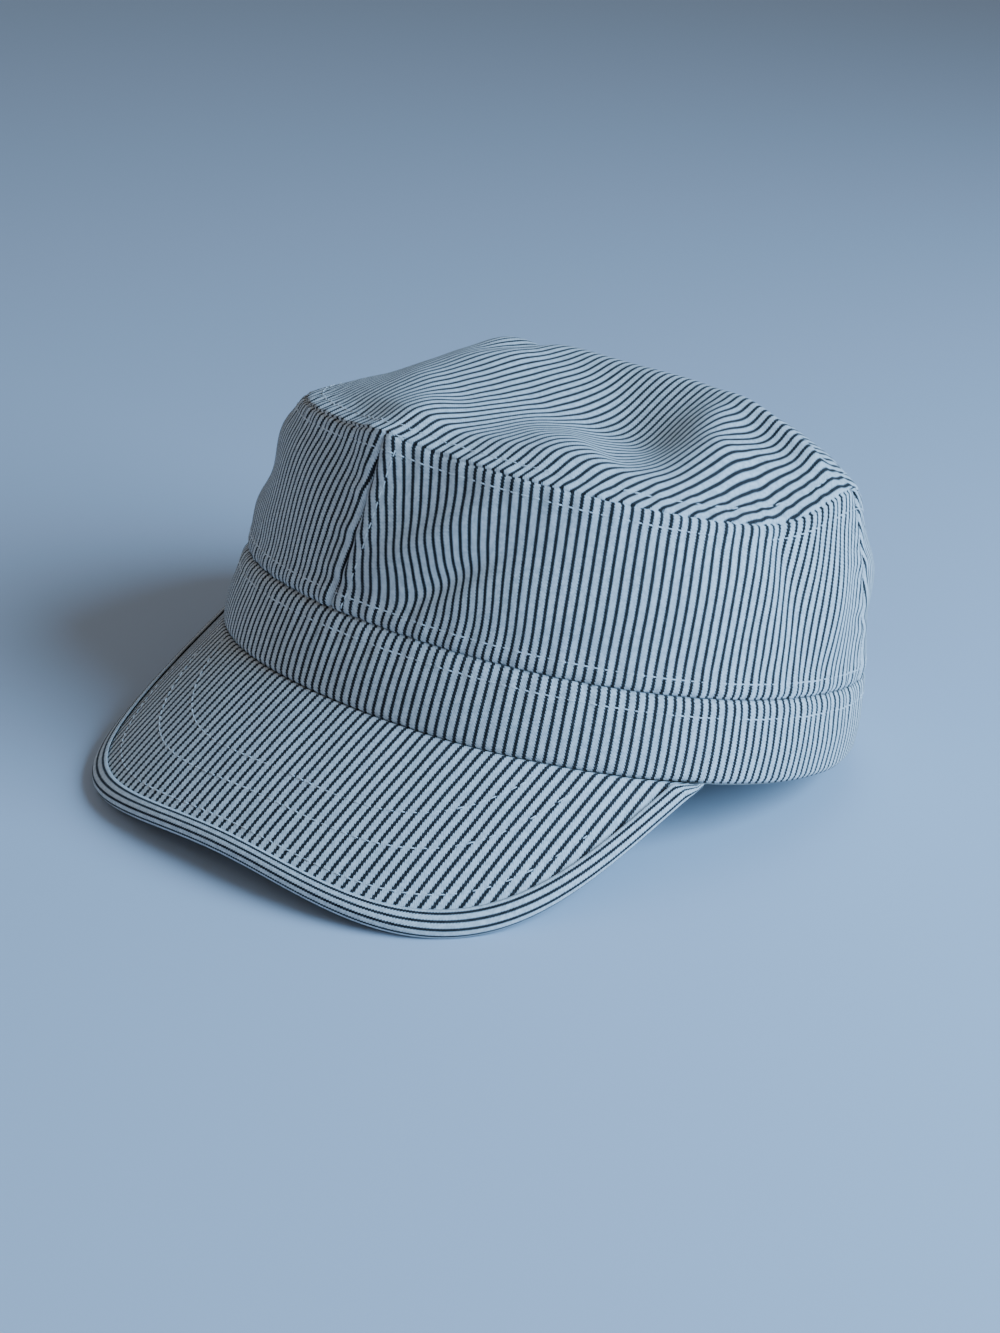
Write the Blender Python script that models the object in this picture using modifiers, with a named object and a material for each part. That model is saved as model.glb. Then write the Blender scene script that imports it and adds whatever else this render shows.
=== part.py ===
"""A cap of striped cotton: a soft crown with a flat tip, a band round the rim and a bound peak.

The cap is built upright, with its rim in the plane z = 0, the peak towards -Y and the wearer's
left towards +X.  An angle round the cap is 0 at the centre front and 90 degrees at the wearer's
left.  An empty then leans the cap back to where it rests, on the peak and the back of the rim.
"""

from math import pi, radians

import bmesh
import bpy
import numpy as np

# Rim, measured on the outer face of the band
RIM_FRONT = 0.0989         # reach from the middle to the centre front
RIM_BACK = 0.0841
RIM_SIDE = 0.0964
RIM_POWER = 2.17           # 2 is an ellipse, more is squarer
RIM_MOST = 0.9995          # share of the way to the side up to which the rim has a front

# Band and sweatband
BAND_HEIGHT = 0.0227
BAND_WALL = 0.0022         # two layers of cloth
BAND_BULGE = 0.0012
SWEATBAND_WALL = 0.0012
SWEATBAND_HANG = 0.0009    # how far its edge shows below the band
RIM_DIP = 0.0016           # slack of the free rim at the wearer's left
RIM_DIP_ANGLE = 88
RIM_DIP_WIDTH = 24

# Crown
CROWN_HEIGHT = 0.0506      # from the band seam to the tip seam at the centre front
CROWN_WALL = 0.0016
SEAM_ROLL = 0.0016         # how far the tip seam's edge is rolled over
SEAM_MARGIN = 0.0015       # cloth turned in beside a panel's seam
TIP_RISE = 1.35            # height of the tip's middle, as a share of the crown height
TIP_SLOPE = 0.195          # rise of the tip towards the back
TIP_ROUND = 3.0            # how late the tip bends down to its seam

# Peak
PEAK_ANGLE = 62.2          # where the peak's edge leaves the rim
PEAK_HALF_WIDTH = 0.0768
PEAK_REACH = 0.0421        # beyond the rim at the centre front
PEAK_SLOPE = 0.752
PEAK_DROOP = 0.078         # extra slope, gained over the peak's reach
PEAK_TUCK = (38, 52)       # angles between which its edge sinks, to pass under the band
PEAK_SIDE_POWER = 0.662
PEAK_FRONT_POWER = 0.527
PEAK_BOARD = 0.0030
BINDING_WALL = 0.0010
BINDING_WIDTH = 0.0039

# Fit and rest
GAP = 0.0003               # between pieces that are sewn together
RIM_PRESS = 0.0009         # how far the back of the rim is pressed flat where it rests
PEAK_PRESS = 0.0002
MERGE = 0.000001

# Number of facets
PANEL_COLUMNS = {"left": 24, "back": 20, "right": 24}
RING_COLUMNS = sum(PANEL_COLUMNS.values())
PANEL_ROWS = 9
TIP_ROWS = 11
PEAK_COLUMNS = 36
PEAK_ROWS = 5
BINDING_COLUMNS = 46
EDGE_STEPS = 4001          # along the peak's edge, when its length is measured

# Crown wall, a row for each level from the band seam to the tip seam.  Heights above the band
# seam are shares of the crown height, and reaches are shares of the rim's in that direction.
LEVEL_COLUMNS = ("up_front", "up_left", "up_back", "up_right",
                 "out_front", "out_left", "out_back", "out_right", "power")
LEVELS = (
    (0.000, 0.000, 0.000, 0.000, 0.944, 0.977, 0.985, 0.977, 2.17),
    (0.330, 0.310, 0.330, 0.340, 0.938, 0.955, 0.970, 0.955, 2.17),
    (0.670, 0.610, 0.660, 0.690, 0.928, 0.915, 0.880, 0.905, 2.25),
    (1.000, 0.915, 0.955, 0.940, 0.915, 0.845, 0.713, 0.795, 2.35),
)

# Places where the tip seam stands up or out: angle, half width in degrees, rise as a share of
# the crown height, reach as a share of the rim's front.
SEAM_CORNERS = (
    (99.0, 17.0, 0.200, 0.000),
    (-4.0, 7.0, 0.040, 0.055),
)

# Seams between the wall panels: angle at the band and angle at the tip
FRONT_SEAM = (-9.0, -2.5)
LEFT_SEAM = (106.0, 100.0)
RIGHT_SEAM = (-110.0, -106.0)

PANELS = {
    "left": (FRONT_SEAM, LEFT_SEAM),
    "back": (LEFT_SEAM, tuple(angle + 360 for angle in RIGHT_SEAM)),
    "right": (RIGHT_SEAM, FRONT_SEAM),
}

# Folds of the wall: angle, share of the way up, then length, width and height as shares of the
# crown height, and slant in degrees (0 runs upright, more leans to the wearer's left).
WALL_FOLDS = (
    (-58.0, 0.50, 0.55, 0.13, 90.0, -0.036),
    (-52.0, 0.78, 0.55, 0.12, 90.0, 0.022),
    (-58.0, 0.24, 0.50, 0.12, 90.0, 0.026),
    (13.0, 0.34, 0.34, 0.070, 52.0, -0.046),
    (8.0, 0.54, 0.42, 0.095, 52.0, 0.034),
    (34.0, 0.66, 0.50, 0.200, 80.0, -0.024),
    (30.0, 0.30, 0.50, 0.150, 78.0, 0.020),
    (76.0, 0.72, 0.40, 0.150, -14.0, -0.040),
    (90.0, 0.52, 0.30, 0.160, 10.0, 0.032),
    (116.0, 0.64, 0.30, 0.150, 90.0, 0.032),
    (122.0, 0.34, 0.40, 0.120, 90.0, -0.024),
    (160.0, 0.55, 0.60, 0.130, 96.0, -0.030),
    (195.0, 0.72, 0.55, 0.140, 84.0, 0.026),
    (228.0, 0.45, 0.50, 0.140, 100.0, -0.028),
    (262.0, 0.66, 0.45, 0.130, 82.0, 0.024),
)
WALL_FOLD_FADE = 0.12      # share of the way up over which the folds begin

# Folds of the tip: place to the left and to the back, length and width as shares of the rim's
# side, slant in degrees (0 runs to the back), height as a share of the crown height.
TIP_FOLDS = (
    (-0.138, -0.755, 0.334, 0.150, 143.0, 0.085),
    (-0.329, -0.178, 0.429, 0.193, -7.5, 0.128),
    (0.450, -0.464, 0.156, 0.188, 66.5, -0.165),
    (0.179, -0.229, 0.191, 0.203, 59.0, -0.115),
    (0.320, -0.190, 0.300, 0.115, 125.0, -0.085),
    (0.438, -0.100, 0.102, 0.207, 77.0, 0.079),
    (0.620, -0.200, 0.220, 0.120, 30.0, 0.085),
    (0.168, 0.156, 0.487, 0.107, 88.0, 0.067),
    (0.640, 0.075, 0.260, 0.045, 99.0, 0.070),
    (0.560, 0.310, 0.300, 0.110, 99.0, 0.060),
    (-0.350, 0.080, 0.250, 0.055, 0.0, -0.045),
    (-0.490, 0.080, 0.220, 0.085, 0.0, 0.060),
    (0.723, -0.275, 0.341, 0.129, -5.0, -0.065),
    (0.475, -0.530, 0.410, 0.192, 39.0, 0.125),
    (0.000, 0.440, 0.600, 0.190, 90.0, -0.090),
)
TIP_FOLD_FADE = 0.15       # share of the way in from the seam where the folds die out


def oval(angle, front, left, back, right, power):
    """Reach of a smooth oval that has its own reach in each of four directions."""
    across = np.abs(np.sin(angle)) / np.where(np.sin(angle) > 0, left, right)
    along = np.abs(np.cos(angle)) / np.where(np.cos(angle) > 0, front, back)
    return (across**power + along**power) ** (-1 / power)


def around(angle, front, left, back, right):
    """Value that turns smoothly from one of four directions to the next."""
    along = np.where(np.cos(angle) > 0, front, back) * np.cos(angle) ** 2
    across = np.where(np.sin(angle) > 0, left, right) * np.sin(angle) ** 2
    return along + across


def turned(angle, degrees):
    """Turn from a direction in degrees to an angle, the short way round."""
    return (angle - radians(degrees) + pi) % (2 * pi) - pi


def bump(along, across, length, width):
    """A smooth long hill of height 1."""
    return np.exp(-(along / length) ** 2 - (across / width) ** 2)


def at_reach(angle, reach, height):
    """Points at an angle and a reach from the middle."""
    return np.stack([reach * np.sin(angle), -reach * np.cos(angle), height + 0 * reach], axis=-1)


def rim_reach_at(angle):
    return oval(angle, RIM_FRONT, RIM_SIDE, RIM_BACK, RIM_SIDE, RIM_POWER)


def level_at(share):
    """The level table's columns at a share of the way up, on a smooth curve through its rows."""
    table = np.array(LEVELS)
    last = len(table) - 1
    step = np.clip(np.floor(share * last).astype(int), 0, last - 1)
    part = (share * last - step)[..., None]
    low, high = table[step], table[step + 1]
    before = np.where((step > 0)[..., None], table[np.maximum(step - 1, 0)], 2 * low - high)
    after = np.where((step < last - 1)[..., None], table[np.minimum(step + 2, last)], 2 * high - low)
    curve = 2 * low + (high - before) * part
    curve += (2 * before - 5 * low + 4 * high - after) * part**2
    curve += (3 * low - before - 3 * high + after) * part**3
    return dict(zip(LEVEL_COLUMNS, np.moveaxis(curve / 2, -1, 0)))


def smooth_wall(angle, share):
    """The crown wall before its folds, at an angle and a share of the way up."""
    level = level_at(share)
    reach = oval(angle, level["out_front"] * RIM_FRONT, level["out_left"] * RIM_SIDE,
                 level["out_back"] * RIM_BACK, level["out_right"] * RIM_SIDE, level["power"])
    up = around(angle, level["up_front"], level["up_left"], level["up_back"], level["up_right"])
    for direction, width, rise, stand in SEAM_CORNERS:
        near = np.exp(-(turned(angle, direction) / radians(width)) ** 2) * share**2
        up = up + near * rise
        reach = reach + near * stand * RIM_FRONT
    return at_reach(angle, reach, BAND_HEIGHT + up * CROWN_HEIGHT)


def wall_reach(angle, share):
    point = smooth_wall(angle, share)
    return np.hypot(point[..., 0], point[..., 1])


def wall(angle, share):
    """Outer face of the crown wall with its folds."""
    angle, share = np.broadcast_arrays(np.asarray(angle, float), np.asarray(share, float))
    step = 0.001
    point = smooth_wall(angle, share)
    sideways = smooth_wall(angle + step, share) - smooth_wall(angle - step, share)
    above = smooth_wall(angle, np.minimum(share + step, 1))
    upwards = above - smooth_wall(angle, np.maximum(share - step, 0))
    normal = np.cross(sideways, upwards)
    normal /= np.linalg.norm(normal, axis=-1, keepdims=True)
    height = np.zeros(angle.shape)
    for direction, place, length, width, slant, rise in WALL_FOLDS:
        aside = turned(angle, direction) * RIM_SIDE
        above = (share - place) * CROWN_HEIGHT
        lean_sin, lean_cos = np.sin(radians(slant)), np.cos(radians(slant))
        along = aside * lean_sin + above * lean_cos
        across = aside * lean_cos - above * lean_sin
        height += rise * CROWN_HEIGHT * bump(along, across, length * CROWN_HEIGHT, width * CROWN_HEIGHT)
    edge = np.clip(share / WALL_FOLD_FADE, 0, 1)
    return point + normal * (height * edge)[..., None]


def tip(angle, share):
    """Outer face of the crown's tip, from its middle at share 0 to the tip seam at share 1."""
    angle, share = np.broadcast_arrays(np.asarray(angle, float), np.asarray(share, float))
    seam = wall(angle, np.ones_like(angle))
    x, y = seam[..., 0] * share, seam[..., 1] * share
    middle = BAND_HEIGHT + TIP_RISE * CROWN_HEIGHT
    bend = (seam[..., 2] - middle - TIP_SLOPE * seam[..., 1]) * share**TIP_ROUND
    height = np.zeros(angle.shape)
    for left, back, length, width, slant, rise in TIP_FOLDS:
        aside, behind = x - left * RIM_SIDE, y - back * RIM_SIDE
        lean_sin, lean_cos = np.sin(radians(slant)), np.cos(radians(slant))
        along = aside * lean_sin + behind * lean_cos
        across = aside * lean_cos - behind * lean_sin
        height += rise * CROWN_HEIGHT * bump(along, across, length * RIM_SIDE, width * RIM_SIDE)
    fade = np.clip((1 - share) / TIP_FOLD_FADE, 0, 1)
    height *= fade**2 * (3 - 2 * fade)
    return np.stack([x, y, middle + TIP_SLOPE * y + bend + height], axis=-1)


def seam_edges(angle):
    """Edges of the wall and of the tip, rolled over the tip seam and the gap apart."""
    seam = wall(angle, np.ones_like(angle))
    low = wall(angle, np.full_like(angle, 1 - SEAM_ROLL / CROWN_HEIGHT))
    inner = tip(angle, 1 - SEAM_ROLL / np.hypot(seam[..., 0], seam[..., 1]))
    over = inner - low
    over /= np.linalg.norm(over, axis=-1, keepdims=True)
    middle = (inner + low) / 2
    return middle - over * GAP / 2, middle + over * GAP / 2


def panel_angle(side, column, share):
    """Angle of a panel's column between two seams that lean a little, with a narrow column at each."""
    first, last = PANELS[side]
    start = radians(1) * (first[0] + (first[1] - first[0]) * share)
    end = radians(1) * (last[0] + (last[1] - last[0]) * share)
    facet = 2 * pi / RING_COLUMNS
    slack = (GAP + CROWN_WALL * facet) / 2
    start = start + slack / wall_reach(start, share)
    end = end - slack / wall_reach(end, share)
    margin = SEAM_MARGIN / RIM_SIDE
    narrow = 1 / PANEL_COLUMNS[side]
    inner = np.clip((column - narrow) / (1 - 2 * narrow), 0, 1)
    outermost = margin * ((column > 1 - narrow / 2) * 1.0 - (column < narrow / 2))
    return start + margin + (end - start - 2 * margin) * inner + outermost


def panel(side):
    """Place function of one wall panel's outer face."""
    edge_row = 1 + 1 / PANEL_ROWS

    def place(column, row):
        share = np.clip(row * edge_row, 0, 1) * (1 - SEAM_ROLL / CROWN_HEIGHT)
        points = wall(panel_angle(side, column, share), share)
        points[..., 2] += GAP / 2 * (share <= 0)
        top = row > 1 - 0.5 / (PANEL_ROWS + 1)
        edge = seam_edges(panel_angle(side, column, np.ones_like(row)))[0]
        return np.where(top[..., None], edge, points)

    return place


def tip_angle(column):
    """Angle of the tip's column, in step with the columns of the three panels below it."""
    angles = []
    for side, count in PANEL_COLUMNS.items():
        angles.extend(panel_angle(side, np.arange(count) / count, np.ones(count)))
    angles.append(angles[0] + 2 * pi)
    return np.interp(column * RING_COLUMNS, np.arange(RING_COLUMNS + 1), angles)


def tip_place(column, row):
    """Tip's outer face, from its rolled edge at row 0 to its middle at row 1."""
    angle = tip_angle(column)
    seam = wall(angle, np.ones_like(angle))
    outermost = 1 - SEAM_ROLL / np.hypot(seam[..., 0], seam[..., 1])
    inward = np.clip((row * (TIP_ROWS + 1) - 1) / TIP_ROWS, 0, 1)
    points = tip(angle, outermost * (1 - inward))
    edge = seam_edges(angle)[1]
    return np.where((row < 0.5 / (TIP_ROWS + 1))[..., None], edge, points)


def band_reach(angle, share):
    """Reach of the band's outer face, at a share of the way up."""
    top = wall_reach(angle, np.zeros_like(angle))
    bottom = rim_reach_at(angle)
    return bottom + (top - bottom) * share + BAND_BULGE * np.sin(pi * share)


def rim_height(angle):
    """Height of the rim's lower edge, slack at the wearer's left."""
    return -RIM_DIP * np.exp(-(turned(angle, RIM_DIP_ANGLE) / radians(RIM_DIP_WIDTH)) ** 2)


def band_section(angle, outward, share):
    """A point of the band: outward 1 is its outer face, 0 its inner face."""
    reach = np.where(outward > 0, band_reach(angle, share), band_reach(angle, share * 0) - BAND_WALL)
    top_wall = band_reach(angle, np.ones_like(angle)) - BAND_WALL
    reach = np.where((outward == 0) & (share > 0.5), top_wall, reach)
    low = rim_height(angle)
    return at_reach(angle, reach, low + (BAND_HEIGHT - GAP / 2 - low) * share)


def sweatband_section(angle, outward, share):
    """A point of the sweatband inside the band, whose lower edge shows below it."""
    outer = band_reach(angle, np.round(share)) - BAND_WALL - GAP
    reach = outer - SWEATBAND_WALL * (1 - outward)
    low = rim_height(angle) - SWEATBAND_HANG
    return at_reach(angle, reach, low + (BAND_HEIGHT - BAND_WALL - low) * share)


BAND_PROFILE = ((1, 0.0), (1, 0.3), (1, 0.7), (1, 1.0), (0, 1.0), (0, 0.0))
SWEATBAND_PROFILE = ((1, 0.0), (1, 1.0), (0, 1.0), (0, 0.0))


def rim_ahead(x):
    """How far the rim reaches towards -Y at a distance from the middle plane."""
    share = np.clip(np.abs(x) / RIM_SIDE, 0, RIM_MOST)
    return RIM_FRONT * (1 - share**RIM_POWER) ** (1 / RIM_POWER)


def peak_ahead(x, y):
    return -y - rim_ahead(x)


def peak_tuck(angle):
    """How far the peak sinks at an angle, so that its binding fits under the band."""
    start, end = PEAK_TUCK
    share = np.clip((np.abs(np.degrees(angle)) - start) / (end - start), 0, 1)
    return (BINDING_WALL + GAP) * share**2 * (3 - 2 * share)


def peak_surface(x, y, least=0.0):
    """Top face of the peak's board: a bent sheet that falls away from the rim."""
    ahead = np.maximum(peak_ahead(x, y), least)
    angle = np.arctan2(x, -y)
    fall = GAP + PEAK_SLOPE * ahead + PEAK_DROOP * ahead**2 / PEAK_REACH + peak_tuck(angle)
    return np.stack([x, y, rim_height(angle) - fall], axis=-1)


def peak_outline(turn, inset):
    """Plan of the peak's edge, moved in by inset; turn runs from -1 to 1 round the edge."""
    corner = radians(PEAK_ANGLE)
    reach = rim_reach_at(np.array(corner))
    side, front = reach * np.sin(corner), reach * np.cos(corner)
    depth = RIM_FRONT + PEAK_REACH - front
    swing = np.sin(turn * pi / 2)
    forward = np.abs(np.cos(turn * pi / 2)) ** PEAK_FRONT_POWER
    half = (1 - forward) * (side - inset) + forward * (PEAK_HALF_WIDTH - inset)
    x = np.sign(swing) * np.abs(swing) ** PEAK_SIDE_POWER * half
    return x, -front - (depth - inset) * forward


def peak_end(inset, clearance):
    """Turn at which the edge, moved in by inset, still clears the rim."""
    turn = np.linspace(0.5, 1, EDGE_STEPS)
    clear = peak_ahead(*peak_outline(turn, inset)) > clearance
    return turn[clear][-1]


def edge_turn(column, inset, end):
    """Turn at a share of the way along the peak's edge, measured by its length."""
    turn = np.linspace(-end, end, EDGE_STEPS)
    x, y = peak_outline(turn, inset)
    run = np.concatenate([[0.0], np.cumsum(np.hypot(np.diff(x), np.diff(y)))])
    return np.interp(column * run[-1], run, turn)


def peak_spot(column, inset, end, inward, tuck):
    """Plan of a spot of the peak: inward is 0 at its edge and 1 at the rim or tucked behind it."""
    edge_x, edge_y = peak_outline(edge_turn(column, inset, end), inset)
    last_x, last_y = peak_outline(np.array(end), inset)
    angle = (2 * column - 1) * np.arctan2(last_x, -last_y)
    rim = at_reach(angle, rim_reach_at(angle) - tuck, 0)
    return edge_x + (rim[..., 0] - edge_x) * inward, edge_y + (rim[..., 1] - edge_y) * inward


def peak_place(column, row):
    """Top face of the peak's board, from its outer edge at row 0 to its tucked edge at row 1."""
    inset = BINDING_WALL + GAP
    inward = np.clip(row * (PEAK_ROWS + 1) / PEAK_ROWS, 0, 1)
    tucked = row > 1 - 0.5 / (PEAK_ROWS + 1)
    end = peak_end(inset, BINDING_WIDTH + PEAK_BOARD)
    return peak_surface(*peak_spot(column, inset, end, inward, tucked * BAND_WALL))


def peak_normal(turn, inset):
    """Upward direction square to the peak's top face near its edge."""
    x, y = peak_outline(turn, inset)
    step = 0.0001
    sideways = peak_surface(x + step, y, -RIM_SIDE) - peak_surface(x - step, y, -RIM_SIDE)
    backwards = peak_surface(x, y + step, -RIM_SIDE) - peak_surface(x, y - step, -RIM_SIDE)
    normal = np.cross(sideways, backwards)
    return normal / np.linalg.norm(normal, axis=-1, keepdims=True)


def binding_width(turn):
    """The binding's width, narrower where its inner edge passes under the band."""
    edge = peak_ahead(*peak_outline(turn, 0.0)) - GAP
    inner = peak_ahead(*peak_outline(turn, BINDING_WIDTH)) - GAP
    return BINDING_WIDTH * np.where(inner < 0, edge / (edge - inner), 1.0)


# Section of the binding round the peak's edge: share of its width in from the edge, and height
# from the board's middle as a share of half the binding's thickness.
BINDING_PROFILE = ((1.00, 1.0), (0.40, 1.0), (0.08, 0.6), (0.00, 0.0), (0.08, -0.6), (0.40, -1.0),
                   (0.80, -1.0))


BINDING_INSIDE = ((0.80, -1.0), (0.00, -1.0), (0.00, 1.0), (1.00, 1.0))
BINDING_LOOP = ([(1, share, height) for share, height in BINDING_PROFILE]
                + [(0, share, height) for share, height in BINDING_INSIDE])


def binding_thickness():
    return PEAK_BOARD + 2 * (GAP + BINDING_WALL)


def binding_point(turn, outward, share, height):
    """A point of the binding's outer face (outward 1) or its inner face (outward 0)."""
    wall_part = BINDING_WALL * (1 - outward)
    inset = np.maximum(share * binding_width(turn), wall_part)
    x, y = peak_outline(turn, inset)
    half = binding_thickness() / 2 - wall_part
    offset = height * half - PEAK_BOARD / 2
    normal = peak_normal(turn, BINDING_WALL)
    return peak_surface(x, y) + normal * offset[..., None]


def binding_place(column, row):
    """Closed section of the binding, swept round the peak's edge."""
    index = np.round(row * len(BINDING_LOOP)).astype(int) % len(BINDING_LOOP)
    turn = edge_turn(column, 0.0, peak_end(2 * BINDING_WALL, GAP))
    outward, share, height = np.moveaxis(np.array(BINDING_LOOP)[index], -1, 0)
    return binding_point(turn, outward, share, height)


def section_place(section, profile):
    """Place function of a closed band profile, swept all the way round the rim."""
    def place(column, row):
        index = np.round(row * len(profile)).astype(int) % len(profile)
        outward, share = np.moveaxis(np.array(profile, float)[index], -1, 0)
        return section(column * 2 * pi, outward, share)

    return place


def grid_shares(columns, rows):
    """Shares of the way along and up, at the corners of a grid."""
    column, row = np.meshgrid(np.linspace(0, 1, columns + 1), np.linspace(0, 1, rows + 1))
    return column.ravel(), row.ravel()


def height_when_leant(points, lean):
    return points[..., 2] * np.cos(lean) - points[..., 1] * np.sin(lean)


def rest():
    """How far the cap leans back, and the floor's height then, when peak and rim touch it."""
    edge = binding_place(*grid_shares(BINDING_COLUMNS, len(BINDING_LOOP)))
    rim = section_place(band_section, BAND_PROFILE)(*grid_shares(RING_COLUMNS, len(BAND_PROFILE)))
    low, high = 0.0, pi / 4
    for _ in range(50):
        lean = (low + high) / 2
        peak_floor = height_when_leant(edge, lean).min() + PEAK_PRESS
        rim_floor = height_when_leant(rim, lean).min() + RIM_PRESS
        if peak_floor < rim_floor:
            low = lean
        else:
            high = lean
    return lean, rim_floor


def pressed(points, lean, floor):
    """Points of cloth, with those that would reach below the floor flattened on it."""
    below = np.minimum(height_when_leant(points, lean) - floor, 0)
    up = np.array([0.0, -np.sin(lean), np.cos(lean)])
    return points - below[..., None] * up


def material(name, colour, roughness):
    """Cloth: rough, with no metal in it."""
    cloth = bpy.data.materials.new(name)
    cloth.use_nodes = True
    shader = cloth.node_tree.nodes["Principled BSDF"]
    shader.inputs["Base Color"].default_value = (*colour, 1.0)
    shader.inputs["Roughness"].default_value = roughness
    shader.inputs["Metallic"].default_value = 0.0
    cloth.diffuse_color = (*colour, 1.0)
    return cloth


def piece(name, columns, rows, place, base, colour, cap_ends=False):
    """A named object on a grid of quads, standing at a height of base above the rim's plane."""
    shape = bmesh.new()
    bmesh.ops.create_grid(shape, x_segments=columns, y_segments=rows, size=0.5)
    shares = np.array([vert.co[:2] for vert in shape.verts]) + 0.5
    points = place(shares[:, 0], shares[:, 1]) - np.array([0.0, 0.0, base])
    for vert, point in zip(shape.verts, points):
        vert.co = point
    bmesh.ops.remove_doubles(shape, verts=shape.verts, dist=MERGE)
    if cap_ends:
        ends = [edge for edge in shape.edges if edge.is_boundary]
        bmesh.ops.holes_fill(shape, edges=ends, sides=0)
    if not any(edge.is_boundary for edge in shape.edges):
        bmesh.ops.recalc_face_normals(shape, faces=shape.faces)
    mesh = bpy.data.meshes.new(name)
    shape.to_mesh(mesh)
    shape.free()
    mesh.shade_smooth()
    mesh.materials.append(material(name, colour, 0.9))
    made = bpy.data.objects.new(name, mesh)
    made.location = (0.0, 0.0, base)
    cap.objects.link(made)
    made.parent = carrier
    return made


def thicken(sheet, thickness):
    """Give a sheet its thickness on its inner side."""
    solidify = sheet.modifiers.new("cloth", "SOLIDIFY")
    solidify.thickness = thickness
    solidify.offset = -1


def world_corners(made):
    """Lowest and highest corner of an object as it is seen, in world space."""
    shown = made.evaluated_get(bpy.context.evaluated_depsgraph_get())
    places = np.empty(len(shown.data.vertices) * 3)
    shown.data.vertices.foreach_get("co", places)
    matrix = np.array(made.matrix_world)
    places = places.reshape(-1, 3) @ matrix[:3, :3].T + matrix[:3, 3]
    return places.min(axis=0), places.max(axis=0)


STRIPED_CLOTH = (0.50, 0.49, 0.48)
PALE_TAPE = (0.62, 0.58, 0.52)

for existing in list(bpy.data.objects):
    bpy.data.objects.remove(existing, do_unlink=True)

cap = bpy.data.collections.new("striped_cap")
bpy.context.scene.collection.children.link(cap)
carrier = bpy.data.objects.new("rest", None)
cap.objects.link(carrier)

LEAN, FLOOR = rest()
CROWN_BASE = BAND_HEIGHT

for side, columns in PANEL_COLUMNS.items():
    wall_panel = piece(side + "_panel", columns, PANEL_ROWS + 1, panel(side), CROWN_BASE,
                       STRIPED_CLOTH)
    thicken(wall_panel, CROWN_WALL)

crown_tip = piece("crown_tip", RING_COLUMNS, TIP_ROWS + 1, tip_place, CROWN_BASE, STRIPED_CLOTH)
thicken(crown_tip, CROWN_WALL)


def band_on_floor(column, row):
    return pressed(section_place(band_section, BAND_PROFILE)(column, row), LEAN, FLOOR)


def sweatband_on_floor(column, row):
    points = section_place(sweatband_section, SWEATBAND_PROFILE)(column, row)
    return pressed(points, LEAN, FLOOR + GAP)


def binding_on_floor(column, row):
    return pressed(binding_place(column, row), LEAN, FLOOR)


piece("band", RING_COLUMNS, len(BAND_PROFILE), band_on_floor, 0, STRIPED_CLOTH)
piece("sweatband", RING_COLUMNS, len(SWEATBAND_PROFILE), sweatband_on_floor, 0, PALE_TAPE)

peak = piece("peak", PEAK_COLUMNS, PEAK_ROWS + 1, peak_place, 0, STRIPED_CLOTH)
thicken(peak, PEAK_BOARD)
piece("peak_binding", BINDING_COLUMNS, len(BINDING_LOOP), binding_on_floor, 0, STRIPED_CLOTH,
      cap_ends=True)

# Lean the cap back, stand it on the ground and bring the middle of its box over the origin
carrier.rotation_euler = (-LEAN, 0.0, 0.0)
carrier.location = (0.0, 0.0, -FLOOR)
bpy.context.view_layer.update()
boxes = np.array([world_corners(made) for made in cap.objects if made.type == "MESH"])
middle = (boxes[:, 0].min(axis=0) + boxes[:, 1].max(axis=0)) / 2
carrier.location = (-middle[0], -middle[1], -FLOOR)
bpy.context.view_layer.update()
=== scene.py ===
"""The looks of the striped cap: fine cloth meshes, stitching, materials, camera and light.

Pieces are made in the cap's upright frame, with the rim in the plane z = 0, the peak towards -Y
and the wearer's left towards +X, and are then leant back as the solids are.
"""

from math import cos, pi, radians, sin

import bmesh
import bpy
import numpy as np
from mathutils import Matrix, Vector


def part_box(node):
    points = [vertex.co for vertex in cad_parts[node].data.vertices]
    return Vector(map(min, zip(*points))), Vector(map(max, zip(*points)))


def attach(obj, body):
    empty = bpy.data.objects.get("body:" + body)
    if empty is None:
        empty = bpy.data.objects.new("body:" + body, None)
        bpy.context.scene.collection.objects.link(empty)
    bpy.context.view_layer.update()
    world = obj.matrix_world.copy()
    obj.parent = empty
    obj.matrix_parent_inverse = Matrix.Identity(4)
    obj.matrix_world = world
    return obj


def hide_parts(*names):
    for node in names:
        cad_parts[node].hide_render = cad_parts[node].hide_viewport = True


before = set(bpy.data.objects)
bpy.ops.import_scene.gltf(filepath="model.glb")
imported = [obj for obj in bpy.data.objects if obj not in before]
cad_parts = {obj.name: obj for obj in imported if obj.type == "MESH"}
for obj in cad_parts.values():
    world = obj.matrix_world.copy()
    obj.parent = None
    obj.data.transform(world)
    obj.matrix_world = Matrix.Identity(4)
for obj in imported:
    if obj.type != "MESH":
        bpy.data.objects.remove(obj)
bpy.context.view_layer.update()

# Rim, measured on the outer face of the band
RIM_FRONT = 0.0989         # reach from the middle to the centre front
RIM_BACK = 0.0841
RIM_SIDE = 0.0964
RIM_POWER = 2.17           # 2 is an ellipse, more is squarer
RIM_MOST = 0.9995          # share of the way to the side up to which the rim has a front

# Band and sweatband
BAND_HEIGHT = 0.0227
BAND_WALL = 0.0022         # two layers of cloth
BAND_BULGE = 0.0012
SWEATBAND_WALL = 0.0012
SWEATBAND_HANG = 0.0009    # how far its edge shows below the band
RIM_DIP = 0.0016           # slack of the free rim at the wearer's left
RIM_DIP_ANGLE = 88
RIM_DIP_WIDTH = 24

# Crown
CROWN_HEIGHT = 0.0506      # from the band seam to the tip seam at the centre front
CROWN_WALL = 0.0016
TIP_RISE = 1.35            # height of the tip's middle, as a share of the crown height
TIP_SLOPE = 0.195          # rise of the tip towards the back
TIP_ROUND = 3.0            # how late the tip bends down to its seam

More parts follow.
